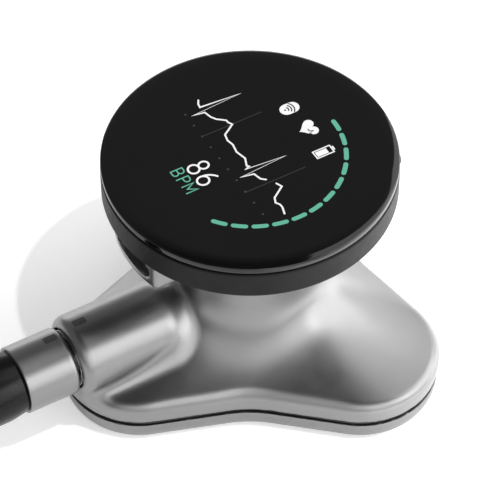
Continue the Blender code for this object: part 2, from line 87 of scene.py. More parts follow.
# The base plate. A seat in its underside is (radius, height, edge radius, radius of the hole through it).
BASE_BOTTOM = 0.5
BASE_TOP = 3.3
DRAW_IN_TOP = 2.4
DRAW_IN_HEIGHT = 1.9
RIM_SEAT = (16.1, 2.3, 0.15, 2.6)
ELECTRODE_PLACE = 22.8
ELECTRODE_SEAT = (5.1, 2.5, 0.15, 1.8)
SCREW_SEAT = (1.9, 1.9, 0.12, 1.1)

# The stem and the hose share one axis.
STEM_HEIGHT = 12.5
BARREL_RADIUS = 6.3
BARREL_END = 31.6
BARREL_FILLET = 2.8
DOME_START = 17.0
DOME_LENGTH = 5.0
SOCKET_RADIUS = 4.85
BORE_END = -9.5
BORE_STEP = -16.2
BORE_COVER = 0.9
FERRULE_RADIUS = 5.3
HOSE_RADIUS = 5.25
HOSE_END_TAPER = 0.35

# The two marks on the stem: name, place, the radius under it and the body it moves with.
MARKS = (("barrel_mark", -28.95, BARREL_RADIUS, "chestpiece"),
         ("ferrule_mark", -33.9, FERRULE_RADIUS, "tubing"))
MARK_HALF_LENGTH = 1.05
MARK_HALF_WIDTH = 0.65
MARK_CORNER = 0.25
MARK_OFFSET = 0.63
MARK_LIFT = 0.02
MARK_DEPTH = 0.15
MARK_STEPS = 16

# The pods under the lip, with the charging slot in one and the power button in the other. An opening is
# (side, length, width, edge radius) and the room behind it (nearest, furthest, half width, bottom).
POD_RADIUS = 20.6
POD_INNER = 8.0
POD_HALF_WIDTH = 6.5
POD_BOTTOM = 27.4
POD_MIDDLE = 30.1
POD_TOP = 33.2
POD_FACE = 16.0
OPENINGS = (((-1, 10.0, 2.9, 0.35), (9.0, 18.4, 5.4, 28.2)), ((1, 9.6, 3.8, 0.3), (9.0, 17.2, 4.4, 27.9)))
BUTTON_SIZE = (9.0, 3.2)

# The display. Its picture is laid out about the dial's own middle.
GLASS_RADIUS = 22.0
GLASS_TOP = 40.2
GLASS_SURFACE = 40.18
GLASS_BOTTOM = 38.75
GLASS_EDGE = (2.8, 0.48)
DIAL_SHIFT = (0.57, -0.33)
DIAL_MIDDLE = (-0.45, 0.35)
DIAL_RADIUS = 14.05
PLATE_THICKNESS = 0.02
ICON_LAYER = 0.01

# The headset lies beside the head, about this line.
HEADSET_LINE = -96.0
HEADSET_HEIGHT = 6.1
PIVOT_X = -6.0
PIVOT_OFFSET = 9.5
PIVOT_SEAT_RADIUS = 4.5
LEG_RADIUS = 4.2
EAR_TUBE_RADIUS = 2.8
YOKE_END = -42.0
YOKE_HALF_HEIGHT = 5.75
BRANCH_RADIUS = 5.4

# The camera, in degrees and millimetres: its elevation, its bearing, and where it looks.
CAMERA_ELEVATION = 48.6
CAMERA_BEARING = 30.0
CAMERA_DISTANCE = 493.5
CAMERA_LENS = 234.33
CAMERA_TARGET_HEIGHT = 18.0
CAMERA_RISE = 0.7

# Lights: bearing and elevation in degrees, distance, width and height in metres, radiance, and whether
# shiny surfaces mirror it. The key only casts the display's pale shadow.
LIGHTS = (
    ("right_box", 92.0, 20.0, 0.7, 0.9, 0.74, 2.9, True),
    ("side_box", 42.0, 24.0, 1.0, 0.5, 0.9, 1.6, True),
    ("high_box", 70.0, 60.0, 0.9, 0.6, 0.45, 1.5, True),
    ("back_wall", -5.0, 6.0, 1.2, 1.4, 0.35, 2.2, True),
    ("front_right_box", 146.0, 24.0, 1.0, 0.85, 0.75, 1.9, True),
    ("front_box", 187.0, 22.0, 1.0, 0.6, 0.7, 0.9, True),
    ("key_spot", 120.0, 69.2, 0.8, 0.016, 0.016, 2500.0, False))
LIGHT_AIM_HEIGHT = 0.015
ROOM_FADE = (("From Min", 0.80), ("From Max", 0.93), ("To Min", 0.23), ("To Max", 0.07))

# The table's glow: the bearing it grows along, and (weakest, strongest, where it starts, where it ends).
FLOOR_GLOW_BEARING = 42.0
FLOOR_GLOW = (0.42, 2.4, 0.022, 0.060)
FLOOR_CORNERS = ((-3, -3, 0), (3, -3, 0), (3, 3, 0), (-3, 3, 0))
FLOOR_DROP = 0.00005

# The hose's middle line: out of the ferrule, down to the table, round and back to the headset.
HOSE_ROUTE = (
    (-40.6, 0.0, 12.5), (-56.0, 0.0, 12.2), (-74.0, 0.4, 10.4), (-94.0, 0.4, 7.2), (-112.0, -0.6, 5.6),
    (-132.0, -1.8, 5.35), (-149.0, -2.2, 5.35), (-166.0, -4.3, 5.35), (-187.0, -13.4, 5.35),
    (-202.0, -30.0, 5.35), (-207.5, -51.0, 5.35), (-202.0, -73.0, 5.35), (-186.0, -90.0, 5.35),
    (-165.0, -98.4, 5.35), (-142.0, -100.2, 5.35), (-116.0, -98.4, 5.35), (-92.0, -96.6, 5.35),
    (-68.0, -96.0, 5.6), (-52.0, -96.0, 6.0), (-42.3, -96.0, 6.1))

# A leg's and an ear tube's middle lines, with y counted from the headset's own line.
LEG_ROUTE = ((-6.0, 9.5, 6.1), (8.0, 15.2, 6.1), (22.0, 21.0, 6.0), (36.0, 26.5, 5.6), (48.0, 30.7, 5.1),
             (58.0, 33.8, 4.75))
EAR_TUBE_ROUTE = ((58.3, 33.9, 4.74), (66.0, 36.0, 4.5), (80.0, 39.0, 4.1), (96.0, 40.4, 3.6),
                  (112.0, 40.0, 3.3), (128.0, 37.2, 3.4), (142.0, 32.4, 4.2), (154.0, 26.4, 5.8),
                  (164.0, 20.0, 8.0), (171.0, 15.0, 10.2))


# ---- Shapes as distance fields

def joined(a, b, radius=0.0):
    """Union of two distance fields, with a fillet of that radius in its corner."""
    if not radius:
        return np.minimum(a, b)
    inside = np.hypot(np.maximum(radius - a, 0), np.maximum(radius - b, 0))
    return np.maximum(radius, np.minimum(a, b)) - inside


def common(a, b, radius=0.0):
    """Intersection of two distance fields, with its edge rounded to that radius."""
    return -joined(-a, -b, radius)


def without(a, b, radius=0.0):
    """The first shape with the second cut out of it."""
    return common(a, -b, radius)


def slot_distance(across, up, length, width):
    """Distance to a slot outline with round ends, its length along the first axis."""
    return np.hypot(np.maximum(np.abs(across) - (length - width) / 2, 0), up) - width / 2


def between(value, low, high):
    """Distance to the slab between two planes."""
    return np.maximum(low - value, value - high)


def lobe_place(x, y):
    """Distance from the head's axis, and angle from the nearest lobe's middle."""
    turn = np.mod(np.arctan2(y, x) - FIRST_LOBE, LOBE_PITCH)
    return np.hypot(x, y), np.minimum(turn, LOBE_PITCH - turn)


def flank():
    """Where a lobe's flank starts and ends, and its outward direction, seen from a lobe along +X."""
    lobe = Vector((LOBE_CENTRE, 0.0))
    waist = Vector(polar(WAIST_CENTRE, LOBE_PITCH / 2))
    apart = waist - lobe
    facing = math.atan2(apart.y, apart.x) - math.acos((LOBE_RADIUS + WAIST_RADIUS) / apart.length)
    outward = Vector(polar(1.0, facing))
    return lobe + LOBE_RADIUS * outward, waist - WAIST_RADIUS * outward, outward, waist


def outline_distance(x, y):
    """Distance to the three-lobed outline, negative inside."""
    radius, angle = lobe_place(x, y)
    along, across = radius * np.cos(angle), radius * np.sin(angle)
    start, end, outward, waist = flank()
    ahead = (across - start.y) * outward.x - (along - start.x) * outward.y
    side = (along - start.x) * outward.x + (across - start.y) * outward.y
    lobe = np.hypot(along - LOBE_CENTRE, across) - LOBE_RADIUS
    hollow = WAIST_RADIUS - np.hypot(along - waist.x, across - waist.y)
    return np.where(ahead < 0, lobe, np.where(ahead < (end - start).length, side, hollow))


def outline_radius(angle):
    """Distance from the axis to the outline, at an angle from the nearest lobe's middle."""
    start, end, outward, _ = flank()
    lobe_side = LOBE_CENTRE * np.sin(angle)
    lobe = LOBE_CENTRE * np.cos(angle) + np.sqrt(np.maximum(LOBE_RADIUS ** 2 - lobe_side ** 2, 0))
    side = start.dot(outward) / np.maximum(np.cos(angle) * outward.x + np.sin(angle) * outward.y, 0.1)
    from_waist = LOBE_PITCH / 2 - angle
    waist_side = WAIST_CENTRE * np.sin(from_waist)
    hollow = WAIST_CENTRE * np.cos(from_waist) - np.sqrt(np.maximum(WAIST_RADIUS ** 2 - waist_side ** 2, 0))
    on_lobe = angle <= math.atan2(start.y, start.x)
    return np.where(on_lobe, lobe, np.where(angle <= math.atan2(end.y, end.x), side, hollow))


def outline_waves(angle):
    """The outline's radius as a few smooth waves, with no corners in its curvature."""
    samples = (np.arange(SAMPLES) + 0.5) / SAMPLES * LOBE_PITCH / 2
    radius = outline_radius(samples)
    total = np.mean(radius)
    for wave in (LOBES, 2 * LOBES, 3 * LOBES):
        total = total + 2 * np.mean(radius * np.cos(wave * samples)) * np.cos(wave * angle)
    return total


def gradient(distance, points, step=0.01):
    """Unit direction in which a distance field grows fastest."""
    slopes = np.empty_like(points)
    for axis in range(3):
        shift = np.zeros(3)
        shift[axis] = step
        slopes[:, axis] = distance(*(points + shift).T) - distance(*(points - shift).T)
    return slopes / np.maximum(np.linalg.norm(slopes, axis=1, keepdims=True), 1e-12)


def edge_crossings(distance, value, corner, step, origin, cell):
    """Where the surface crosses grid edges that start at the given corners, found to a fine fraction."""
    low = np.zeros(len(corner))
    high = np.ones(len(corner))
    low_value = value[tuple(corner.T)]
    high_value = value[tuple((corner + step).T)]
    for _ in range(5):
        share = low + (high - low) * low_value / (low_value - high_value)
        points = origin + (corner + share[:, None] * step) * cell
        found = distance(*points.T)
        same = (found < 0) == (low_value < 0)
        low, low_value = np.where(same, share, low), np.where(same, found, low_value)
        high, high_value = np.where(same, high, share), np.where(same, high_value, found)
    return points


def polygonise(name, distance, low, high, cell):
    """A closed mesh where a distance field is zero, each cell's point where its surfaces best meet."""
    axes = [np.arange(a, b + cell, cell) for a, b in zip(low, high)]
    value = distance(*np.meshgrid(*axes, indexing="ij"))
    inside = value < 0
    origin = np.array(low, float)
    quads, points = [], []
    for axis in range(3):
        a, b = (axis + 1) % 3, (axis + 2) % 3
        turned_grid = np.transpose(inside, (axis, a, b))
        found = np.argwhere(turned_grid[:-1] != turned_grid[1:])
        corner = np.empty_like(found)
        corner[:, axis], corner[:, a], corner[:, b] = found.T
        step = np.zeros(3, int)
        step[axis] = 1
        points.append(edge_crossings(distance, value, corner, step, origin, cell))
        ring = []
        for back_a, back_b in ((1, 1), (0, 1), (0, 0), (1, 0)):
            place = corner.copy()
            place[:, a] -= back_a
            place[:, b] -= back_b
            ring.append(np.ravel_multi_index(place.T, inside.shape))
        ring = np.stack(ring, axis=1)
        outward = inside[tuple(corner.T)]
        quads.append(np.where(outward[:, None], ring, ring[:, ::-1]))
    quads, points = np.concatenate(quads), np.concatenate(points)
    normals = gradient(distance, points)
    _, owner = np.unique(quads.ravel(), return_inverse=True)
    edge = np.repeat(np.arange(len(points)), 4)

    def gathered(weights):
        return np.bincount(owner, weights=weights[edge])

    count = np.bincount(owner)
    middle = np.stack([gathered(points[:, i]) / count for i in range(3)], axis=1)
    reach = (normals * points).sum(axis=1)
    matrix = np.empty((len(count), 3, 3))
    target = np.empty((len(count), 3))
    for i in range(3):
        target[:, i] = gathered(normals[:, i] * reach)
        for j in range(3):
            matrix[:, i, j] = gathered(normals[:, i] * normals[:, j])
    target -= np.einsum("nij,nj->ni", matrix, middle)
    matrix += 0.08 * count[:, None, None] * np.eye(3)
    shift = np.linalg.solve(matrix, target[:, :, None])[:, :, 0]
    vertices = middle + np.clip(shift, -0.7 * cell, 0.7 * cell)
    return mesh_piece(name, vertices.tolist(), owner.reshape(-1, 4).tolist())


# ---- Shapes as skinned rings

def placed(name, data):
    """A new object that holds that data, in the scene."""
    made = bpy.data.objects.new(name, data)
    bpy.context.scene.collection.objects.link(made)
    return made


def polar(radius, angle):
    """The point at that radius and angle."""
    return radius * math.cos(angle), radius * math.sin(angle)


def angles_round(count):
    """Equal angles round a whole turn."""
    return [TURN * k / count for k in range(count)]


def mesh_piece(name, vertices, faces, recalculate=False):
    """An object from points in millimetres, smooth except at its corners."""
    mesh = bpy.data.meshes.new(name)
    mesh.from_pydata([(x * MM, y * MM, z * MM) for x, y, z in vertices], [], faces)
    if recalculate:
        shape = bmesh.new()
        shape.from_mesh(mesh)
        bmesh.ops.recalc_face_normals(shape, faces=shape.faces[:])
        shape.to_mesh(mesh)
        shape.free()
    mesh.shade_smooth()
    mesh.set_sharp_from_angle(angle=math.radians(SHARP_DEGREES))
    return placed(name, mesh)


def bands(rings, loop=False):
    """The points of equal rings, and the faces between neighbouring rings."""
    count = len(rings[0])
    rows = [range(i * count, (i + 1) * count) for i in range(len(rings))]
    pairs = list(zip(rows, rows[1:]))
    if loop:
        pairs.append((rows[-1], rows[0]))
    faces = []
    for lower, upper in pairs:
        for i in range(count):
            j = (i + 1) % count
            faces.append((lower[i], lower[j], upper[j], upper[i]))
    return [tuple(point) for ring in rings for point in ring], faces, rows


def skin(name, rings, loop=False):
    """Skins equal rings of points. It is capped at its ends, or joined round into a ring."""
    vertices, faces, rows = bands(rings, loop)
    if not loop:
        faces += [tuple(rows[0])[::-1], tuple(rows[-1])]
    return mesh_piece(name, vertices, faces, recalculate=True)


def softened(profile, steps):
    """A profile of (radius, height, corner radius) points, with its corners rounded into arcs."""
    places = [Vector(p[:2]) for p in profile]
    line = []
    for i, (_, _, corner) in enumerate(profile):
        here, before, after = places[i], places[i - 1], places[(i + 1) % len(places)]
        if not corner:
            line.append(tuple(here))
            continue
        back, ahead = (before - here).normalized(), (after - here).normalized()
        half = back.angle(ahead) / 2
        pull = corner / math.tan(half)
        centre = here + (back + ahead).normalized() * corner / math.sin(half)
        start, end = here + back * pull, here + ahead * pull
        sweep = math.pi - 2 * half
        line.append(tuple(start + back * corner * 0.3))
        for k in range(steps + 1):
            share = k / steps
            first = math.sin((1 - share) * sweep) / math.sin(sweep)
            second = math.sin(share * sweep) / math.sin(sweep)
            line.append(tuple(centre + (start - centre) * first + (end - centre) * second))
        line.append(tuple(end + ahead * corner * 0.3))
    return line


def turned(name, profile, count=96, loop=False, steps=5):
    """A turned piece about +Z. A solid one's profile starts and ends on the axis."""
    line = softened(profile, steps)
    rings = [[(*polar(r, a), h) for a in angles_round(count)] for r, h in line if r > 1e-6]
    if loop:
        return skin(name, rings, loop=True)
    vertices, faces, rows = bands(rings)
    for end, row in ((line[0], rows[0]), (line[-1], rows[-1])):
        vertices.append((0.0, 0.0, end[1]))
        for i in range(count):
            faces.append((row[i], row[(i + 1) % count], len(vertices) - 1))
    return mesh_piece(name, vertices, faces, recalculate=True)


def smooth_points(route, step):
    """Points about one step apart on a smooth curve through a route."""
    knots = [Vector(p) for p in route]
    knots = [2 * knots[0] - knots[1], *knots, 2 * knots[-1] - knots[-2]]
    fine = []
    for a, b, c, d in zip(knots, knots[1:], knots[2:], knots[3:]):
        for i in range(24):
            t = i / 24
            fine.append(0.5 * (2 * b + (c - a) * t + (2 * a - 5 * b + 4 * c - d) * t ** 2
                               + (3 * b - a - 3 * c + d) * t ** 3))
    fine.append(knots[-2])
    travelled = [0.0]
    for a, b in zip(fine, fine[1:]):
        travelled.append(travelled[-1] + (b - a).length)
    spans = max(2, round(travelled[-1] / step))
    points = []
    place = 0
    for i in range(spans + 1):
        goal = travelled[-1] * i / spans
        while place < len(fine) - 2 and travelled[place + 1] < goal:
            place += 1
        share = (goal - travelled[place]) / (travelled[place + 1] - travelled[place])
        points.append(fine[place].lerp(fine[place + 1], share))
    return points


def swept(name, points, radii, count):
    """A round tube along points, with one radius for each point."""
    rings = []
    for i, point in enumerate(points):
        ahead = points[min(i + 1, len(points) - 1)] - points[max(i - 1, 0)]
        across = ahead.cross(Vector((0, 0, 1))).normalized()
        over = across.cross(ahead).normalized()
        rings.append([point + radii[i] * (math.cos(a) * across + math.sin(a) * over)
                      for a in angles_round(count)])
    return skin(name, rings)


def along_stem(piece):
    """Turns a piece made about +Z so that it points out along the stem, and fixes it in its mesh."""
    piece.data.transform(Matrix.Translation((0, 0, STEM_HEIGHT * MM)) @ Matrix.Rotation(-TURN / 4, 4, "Y"))
    return piece


def aimed(piece, place, direction):
    """Puts a piece made about +Z at a place in millimetres, with its axis along a direction."""
    turn = direction.to_track_quat("Z", "Y").to_matrix().to_4x4()
    piece.data.transform(Matrix.Translation(place * MM) @ turn)
    return piece


# ---- Finishes

class Finish:
    """A Principled material whose colour, roughness and bump come from nodes."""

    def __init__(self, name, sockets):
        self.material = bpy.data.materials.new(name)
        self.material.use_nodes = True
        self.nodes = self.material.node_tree.nodes
        self.links = self.material.node_tree.links
        self.shader = self.nodes["Principled BSDF"]
        for socket, value in sockets.items():
            self.shader.inputs[socket].default_value = value
        self.place = self.nodes.new("ShaderNodeTexCoord").outputs["Object"]

    def stretched(self, scale):
        """Object coordinates scaled by a vector, for grain that runs one way."""
        node = self.nodes.new("ShaderNodeMapping")
        node.inputs["Scale"].default_value = scale
        self.links.new(self.place, node.inputs["Vector"])
        return node.outputs["Vector"]

    def noise(self, size, detail=3.0, place=None):
        """Noise whose features are about size millimetres across."""
        node = self.nodes.new("ShaderNodeTexNoise")
        node.inputs["Scale"].default_value = 1.0 / (size * MM)
        node.inputs["Detail"].default_value = detail
        node.inputs["Roughness"].default_value = 0.55
        self.links.new(place or self.place, node.inputs["Vector"])
        return node.outputs["Fac"]

    def ranged(self, value, low, high, start, end):
        """A texture's value mapped to a range."""
        node = self.nodes.new("ShaderNodeMapRange")
        node.inputs["From Min"].default_value = start
        node.inputs["From Max"].default_value = end
        node.inputs["To Min"].default_value = low
        node.inputs["To Max"].default_value = high
        self.links.new(value, node.inputs["Value"])
        return node.outputs["Result"]

    def vary(self, socket, value, low, high, start=0.3, end=0.7):
        """Drives one of the shader's sockets from a texture."""
        self.links.new(self.ranged(value, low, high, start, end), self.shader.inputs[socket])

    def tint(self, value, first, second, start=0.3, end=0.7):
        """Base colour mixed from two by a texture."""
        node = self.nodes.new("ShaderNodeMix")
        node.data_type = "RGBA"
        colours = [s for s in node.inputs if s.type == "RGBA"]
        for socket, colour in zip(colours, (first, second)):
            socket.default_value = (*np.broadcast_to(colour, 3), 1.0)
        self.links.new(self.ranged(value, 0.0, 1.0, start, end), node.inputs["Factor"])
        output = [s for s in node.outputs if s.type == "RGBA"][0]
        self.links.new(output, self.shader.inputs["Base Color"])

    def bump(self, value, height):
        """Relief of that height in millimetres."""
        node = self.nodes.new("ShaderNodeBump")
        node.inputs["Strength"].default_value = 1.0
        node.inputs["Distance"].default_value = height * MM
        self.links.new(value, node.inputs["Height"])
        self.links.new(node.outputs["Normal"], self.shader.inputs["Normal"])


# Socket values shared by the metal finishes.
METAL = {"Metallic": 1.0}

# Plain finishes: name, material, tint (noise size, low, high), roughness (the same), relief (noise size,
# height, detail), and what else is set. A tint that is one number is a grey.
PLAIN_FINISHES = (
    ("silver", "cast_silver", (9.0, 0.270, 0.285), (2.5, 0.33, 0.37), (0.14, 0.003, 2.0), METAL),
    ("base", "base_grey", (7.0, 0.26, 0.28), (2.0, 0.38, 0.44), (0.16, 0.004, 3.0), METAL),
    ("black", "matt_black_plastic", (4.0, 0.004, 0.006), (1.2, 0.46, 0.54), (0.18, 0.004, 3.0),
     {"Specular IOR Level": 0.16}),
    ("glass", "black_backed_glass", (20.0, 0.0012, 0.0018), (6.0, 0.05, 0.09), None,
     {"Specular IOR Level": 0.5}),
    ("rubber", "smooth_black_rubber", (6.0, 0.0025, 0.004), (2.2, 0.24, 0.30), (0.2, 0.002, 3.0),
     {"Specular IOR Level": 0.22}),
    ("silicone", "soft_silicone", (3.0, 0.022, 0.028), (1.0, 0.50, 0.62), (0.25, 0.006, 3.0), {}),
    ("membrane", "membrane_resin", (3.0, 0.24, 0.27), (1.0, 0.34, 0.44), (0.35, 0.006, 3.0), {}),
    ("ink", "recessed_ink", (0.5, 0.020, 0.030), (0.3, 0.45, 0.60), (0.1, 0.004, 3.0), {}),
    ("brass", "plain_brass", (3.0, (0.70, 0.47, 0.20), (0.78, 0.56, 0.26)), (0.8, 0.24, 0.34), None, METAL),
    ("sleeve", "cell_sleeve", (4.0, (0.05, 0.14, 0.33), (0.07, 0.17, 0.38)), (1.5, 0.36, 0.46),
     (2.0, 0.03, 3.0), {}))


def make_finishes():
    """Every material, by name."""
    made = {}
    for name, material, tint, rough, relief, sockets in PLAIN_FINISHES:
        plain = Finish(material, sockets)
        plain.tint(plain.noise(tint[0]), tint[1], tint[2])
        plain.vary("Roughness", plain.noise(rough[0]), rough[1], rough[2])
        if relief:
            plain.bump(plain.noise(relief[0], relief[2]), relief[1])
        made[name] = plain.material

    steel = Finish("brushed_steel", METAL)
    lengthwise = steel.stretched((0.08, 1.0, 1.0))
    steel.tint(steel.noise(5.0), 0.50, 0.56)
    steel.vary("Roughness", steel.noise(0.3, place=lengthwise), 0.16, 0.26)
    steel.bump(steel.noise(0.22, place=lengthwise), 0.001)
    made["steel"] = steel.material

    board = Finish("solder_mask", {})
    board.tint(board.noise(1.4, detail=0.0), (0.012, 0.10, 0.045), (0.03, 0.17, 0.08), 0.48, 0.52)
    board.vary("Roughness", board.noise(0.6), 0.34, 0.46)
    board.bump(board.noise(0.9, detail=0.0), 0.03)
    made["board"] = board.material

    film = Finish("amber_film", {})
    film.tint(film.noise(0.7, detail=0.0, place=film.stretched((1.0, 1.0, 0.05))),
              (0.50, 0.22, 0.04), (0.62, 0.33, 0.08), 0.45, 0.55)
    film.vary("Roughness", film.noise(1.0), 0.26, 0.36)
    made["film"] = film.material

    for name, colour, power in (("lit_white", (1.0, 1.0, 1.0), 0.95), ("lit_teal", (0.12, 0.46, 0.33), 1.0),
                                ("lit_dim", (1.0, 1.0, 1.0), 0.045), ("lit_off", (1.0, 1.0, 1.0), 0.0)):
        lit = Finish(name, {"Roughness": 0.3, "Emission Color": (*colour, 1.0)})
        lit.tint(lit.noise(2.0), 0.004, 0.006)
        lit.vary("Emission Strength", lit.noise(3.0), power * 0.97, power * 1.03)
        made[name] = lit.material
    return made


finishes = make_finishes()


def dress(piece, finish, node=None, body="chestpiece"):
    """Gives a piece its finish and the body it moves with, and the CAD node it stands for."""
    piece.data.materials.clear()
    piece.data.materials.append(finishes[finish])
    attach(piece, body)
    if node:
        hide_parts(node)


# ---- Camera and hose

def make_camera():
    """A long lens that looks down on the head from its front left."""
    elevation, turn = math.radians(CAMERA_ELEVATION), math.radians(CAMERA_BEARING)
    right = Vector((math.cos(turn), -math.sin(turn), 0.0))
    away = Vector((math.sin(turn), math.cos(turn), 0.0))
    forward = away * math.cos(elevation) - Vector((0, 0, math.sin(elevation)))
    up = right.cross(forward)
    target = Vector((0, 0, CAMERA_TARGET_HEIGHT)) + up * CAMERA_RISE
    camera = bpy.data.cameras.new("camera")
    camera.lens = CAMERA_LENS
    camera.sensor_width = 36.0
    camera.clip_start = 0.01
    camera.clip_end = 20.0
    held = placed("camera", camera)
    axes = Matrix((right, up, -forward)).transposed().to_4x4()
    held.matrix_world = Matrix.Translation((target - forward * CAMERA_DISTANCE) * MM) @ axes
    bpy.context.scene.camera = held


def make_hose():
    """The hose from the ferrule to the headset."""
    points = smooth_points(HOSE_ROUTE, 2.5)
    radii = [HOSE_RADIUS] * len(points)
    radii[0] -= HOSE_END_TAPER
    radii[-1] -= HOSE_END_TAPER
    hose = swept("hose_tube", points, radii, count=40)
    dress(hose, "rubber", "hose", "tubing")
    length = sum((b - a).length for a, b in zip(points, points[1:])) * MM
    return hose, points, length


# ---- The listening head

def sweep_distance(x, y, z):
    """The lobes' tops sweeping up into the neck and out to the lip, with no side wall."""
    radius, angle = lobe_place(x, y)
    depth = NECK_HEIGHT - RIM_HEIGHT
    below = np.maximum(NECK_HEIGHT - z, 0) / depth
    above = np.maximum(z - FLARE_START, 0)
    neck = NECK_RADIUS + FLARE_RATE * above ** 2
    share = below ** SWEEP_POWER
    kept = np.minimum(share, 1.0) ** 3
    outline = kept * outline_radius(angle) + (1 - kept) * outline_waves(angle)
    surface = neck + (outline - neck) * share
    slope = (outline - neck) * SWEEP_POWER * below ** (SWEEP_POWER - 1) / depth
    slope -= (1 - share) * 2 * FLARE_RATE * above
    return (radius - surface) / np.sqrt(1 + slope ** 2)


def head_distance(x, y, z):
    """The head without its stem: swept tops, side wall and lip."""
    lean = WALL_LEAN * np.clip((z - SHELL_BOTTOM) / LEAN_HEIGHT, 0, 1)
    shape = common(sweep_distance(x, y, z), outline_distance(x, y) - lean, RIM_FILLET)
    return common(shape, np.hypot(x, y) - np.where(z > LIP_START, LIP_RADIUS, 99.0), 0.35)


def pod_distance(x, y, z, side):
    """One pod under the lip."""
    shape = np.maximum(POD_INNER - side * x, np.hypot(x, y) - POD_RADIUS)
    shape = common(shape, np.abs(y) - POD_HALF_WIDTH, 0.7)
    return common(shape, between(z, POD_BOTTOM, POD_TOP), 0.7)


def lobe_point(index, along, aside=0.0):
    """A point that lies along a lobe's middle line, and aside from it."""
    angle = FIRST_LOBE + index * LOBE_PITCH
    return (along * math.cos(angle) - aside * math.sin(angle),
            along * math.sin(angle) + aside * math.cos(angle))


def screw_places():
    """Where the three base screws stand."""
    return [lobe_point(index, SCREW_ALONG, SCREW_ASIDE) for index in range(LOBES)]


def shell_distance(x, y, z):
    """The cast housing with its barrel, pods, cavity and openings."""
    head = head_distance(x, y, z)
    stem = np.hypot(y, z - STEM_HEIGHT)
    domed = np.hypot(stem, np.maximum(x + DOME_START, 0) * BARREL_RADIUS / DOME_LENGTH) - BARREL_RADIUS
    barrel = common(domed, -x - BARREL_END, 1.7)
    outside = common(joined(head, barrel, BARREL_FILLET), -x - BARREL_END, 0.3)
    shape = outside
    for side in (-1, 1):
        shape = joined(shape, pod_distance(x, y, z, side), 0.8)
    shape = common(shape, between(z, SHELL_BOTTOM, SHELL_TOP), 0.25)
    cavity = np.maximum(np.maximum(head, sweep_distance(x, y, z + WALL)) + WALL, z - CAVITY_TOP)
    cable_hole = np.maximum(np.hypot(x, y) - CABLE_HOLE_RADIUS, between(z, 30.0, 36.0))
    shape = without(shape, np.minimum(cavity, cable_hole))
    for place in screw_places():
        away = np.hypot(x - place[0], y - place[1])
        shape = joined(shape, np.maximum(away - BOSS_RADIUS, between(z, SHELL_BOTTOM, BOSS_TOP)))
        shape = without(shape, np.maximum(away - SCREW_HOLE_RADIUS, z - PILOT_TOP))
    shape = joined(shape, barrel)
    bore = np.maximum(stem - SOCKET_RADIUS, x - BORE_END)
    bore = np.minimum(np.maximum(bore, x - BORE_STEP), np.maximum(bore, outside + BORE_COVER))
    shape = without(shape, bore, 0.3)
    for (side, length, width, edge), (near, far, half_width, bottom) in OPENINGS:
        opening = np.maximum(slot_distance(y, z - POD_MIDDLE, length, width), POD_FACE - side * x)
        room = np.maximum(between(side * x, near, far), np.abs(y) - half_width)
        opening = np.minimum(opening, np.maximum(room, between(z, bottom, CAVITY_TOP)))
        shape = without(shape, opening, edge)
    return shape


def make_shell():
    """The silver housing."""
    shell = polygonise("silver_housing", shell_distance, (-33.0, -30.5, 3.2), (23.2, 30.5, 35.0), 0.4)
    dress(shell, "silver", "body_shell")


def base_distance(x, y, z):
    """The base plate, drawn in towards its bottom edge, with the seats in its underside."""
    draw_in = 0.05 + 0.55 * (np.maximum(DRAW_IN_TOP - z, 0) / DRAW_IN_HEIGHT) ** 2
    shape = common(outline_distance(x, y) + draw_in, between(z, BASE_BOTTOM, BASE_TOP), 0.12)
    seats = [((0.0, 0.0), RIM_SEAT)]
    seats += [(lobe_point(index, ELECTRODE_PLACE), ELECTRODE_SEAT) for index in range(LOBES)]
    seats += [(place, SCREW_SEAT) for place in screw_places()]
    for place, (radius, top, edge, hole) in seats:
        away = np.hypot(x - place[0], y - place[1])
        shape = without(shape, np.maximum(away - radius, z - top), edge)
        shape = without(shape, away - hole)
    return shape


def outline_ring(height, inset):
    """The outline at a height, moved inward."""
    ring = []
    for angle in angles_round(288):
        turn = (angle - FIRST_LOBE) % LOBE_PITCH
        from_lobe = min(turn, LOBE_PITCH - turn)
        radius = float(outline_radius(np.array(from_lobe))) - inset
        ring.append((*polar(radius, angle), height))
    return ring


def make_base():
    """The base plate, the gasket above it and everything in its underside."""
    plate = polygonise("base_cover", base_distance, (-33.0, -30.5, -0.4), (23.2, 30.5, 4.2), 0.33)
    dress(plate, "base", "base_plate")
    edges = ((3.6, 1.5), (3.6, 0.40), (3.75, 0.32), (3.9, 0.40), (3.9, 1.5))
    gasket = skin("seam_seal", [outline_ring(height, inset) for height, inset in edges], loop=True)
    dress(gasket, "silicone", "seam_gasket")
    membrane = turned("listening_membrane", (
        (0, 0, 0), (12.9, 0, 0.3), (13.4, 0.25, 0.1), (13.4, 0.6, 0.1), (0, 0.6, 0)), count=128)
    dress(membrane, "membrane", "diaphragm")
    rim = turned("membrane_rim", (
        (13.7, 0.25, 0.15), (15.3, 0.25, 0.5), (15.8, 0.9, 0.3), (15.8, 2.0, 0.15), (13.7, 2.0, 0.15)),
        count=128, loop=True)
    dress(rim, "silicone", "diaphragm_rim")
    for index in range(LOBES):
        place = Vector((*lobe_point(index, ELECTRODE_PLACE), 0.0))
        pad = turned(f"electrode_pad_{index + 1}", (
            (0, 0.15, 0), (4.3, 0.15, 0.25), (4.8, 0.55, 0.3), (4.8, 2.2, 0.15), (1.5, 2.2, 0),
            (1.5, 4.4, 0.2), (0, 4.4, 0)), count=72)
        pad.data.transform(Matrix.Translation(place * MM))
        dress(pad, "steel", f"electrode_{index + 1}")
    for index, (screw_x, screw_y) in enumerate(screw_places()):
        def screw_distance(x, y, z, ahead=screw_x, side=screw_y):
            return screw_shape(x - ahead, y - side, z)
        screw = polygonise(f"case_screw_{index + 1}", screw_distance, (screw_x - 2.2, screw_y - 2.2, 0.2),
                           (screw_x + 2.2, screw_y + 2.2, 8.8), 0.12)
        dress(screw, "steel", f"base_screw_{index + 1}")


